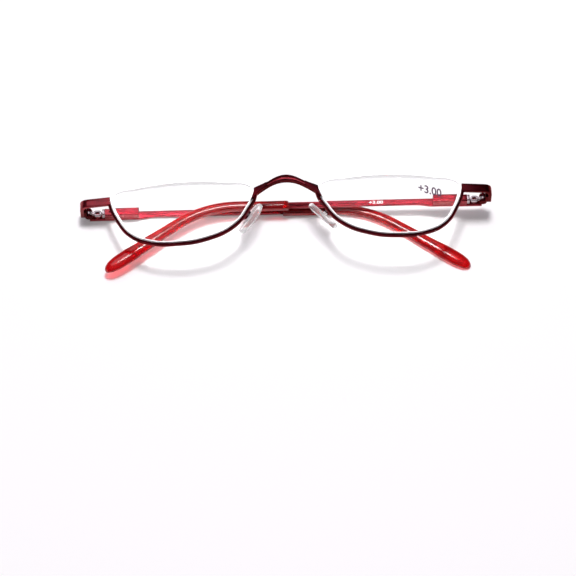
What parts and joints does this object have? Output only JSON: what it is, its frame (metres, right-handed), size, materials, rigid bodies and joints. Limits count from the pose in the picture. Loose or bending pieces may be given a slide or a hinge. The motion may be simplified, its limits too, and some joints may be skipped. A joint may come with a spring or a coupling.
{
  "type": "half eye reading glasses",
  "caption": "Half eye reading glasses with lower wire rims, threaded top edges, rocking nose pads and spring hinged temples, folded",
  "frame": {"origin": "middle of the bottom of the box round the folded glasses, on the surface they lie on", "axes": "+X along the front to the side whose temple lies on top, +Y up when worn, +Z out of the surface they lie on, the way the front faces"},
  "size_m": [0.1378, 0.0286, 0.0194],
  "materials": {
    "lacquered_metal": "glossy translucent lacquer over metal",
    "lens": "polished clear plastic",
    "clear_nylon": "clear nylon",
    "clear_silicone": "clear soft silicone",
    "clear_plastic": "clear hard plastic",
    "steel": "fine machined",
    "tip_plastic": "polished translucent acetate"
  },
  "bodies": {
    "front": {"bridge": "lacquered_metal", "left_lens": "lens", "left_rim_wire": "lacquered_metal", "left_rim_liner": "clear_nylon", "left_top_thread": "clear_nylon", "left_end_piece": "lacquered_metal", "left_hinge_front": "lacquered_metal", "left_hinge_screw": "steel", "left_pad_arm": "lacquered_metal", "left_pad_box": "steel", "left_pad_screw": "steel", "right_lens": "lens", "right_rim_wire": "lacquered_metal", "right_rim_liner": "clear_nylon", "right_top_thread": "clear_nylon", "right_end_piece": "lacquered_metal", "right_hinge_front": "lacquered_metal", "right_hinge_screw": "steel", "right_pad_arm": "lacquered_metal", "right_pad_box": "steel", "right_pad_screw": "steel"},
    "left_pad": {"left_nose_pad": "clear_silicone", "left_pad_insert": "clear_plastic"},
    "left_slider": {"left_hinge_slider": "steel", "left_slider_nut": "steel"},
    "left_temple": {"left_rod_bush": "steel", "left_spring_box": "lacquered_metal", "left_hinge_spring": "steel", "left_temple_arm": "lacquered_metal", "left_temple_tip": "tip_plastic"},
    "right_pad": {"right_nose_pad": "clear_silicone", "right_pad_insert": "clear_plastic"},
    "right_slider": {"right_hinge_slider": "steel", "right_slider_nut": "steel"},
    "right_temple": {"right_rod_bush": "steel", "right_spring_box": "lacquered_metal", "right_hinge_spring": "steel", "right_temple_arm": "lacquered_metal", "right_temple_tip": "tip_plastic"}
  },
  "joints": [
    {"name": "left_temple_fold", "type": "hinge", "parent": "front", "child": "left_slider", "pos_m": [-0.06605, 0.00846, 0.0027], "axis": [0, 1, 0], "range_deg": [0, 90.8]},
    {"name": "left_spring_travel", "type": "slide", "parent": "left_slider", "child": "left_temple", "axis": [0.9999, 0, 0.0134], "range_m": [0, 0.0012], "stiffness_N_per_m": 1500, "springref_m": -0.001, "deforming": ["left_hinge_spring"]},
    {"name": "right_temple_fold", "type": "hinge", "parent": "front", "child": "right_slider", "pos_m": [0.06626, 0.00846, 0.00776], "axis": [0, -1, 0], "range_deg": [0, 94.3]},
    {"name": "right_spring_travel", "type": "slide", "parent": "right_slider", "child": "right_temple", "axis": [-1, 0, -0.0023], "range_m": [0, 0.0012], "stiffness_N_per_m": 1500, "springref_m": -0.001, "deforming": ["right_hinge_spring"]},
    {"name": "left_pad_rock", "type": "hinge", "parent": "front", "child": "left_pad", "pos_m": [-0.01379, 0.00295, 0.01084], "axis": [0.437, -0.3046, 0.8463], "range_deg": [-8, 8]},
    {"name": "right_pad_rock", "type": "hinge", "parent": "front", "child": "right_pad", "pos_m": [0.0135, 0.00338, 0.01144], "axis": [-0.3092, -0.2555, 0.916], "range_deg": [-8, 8]}
  ]
}
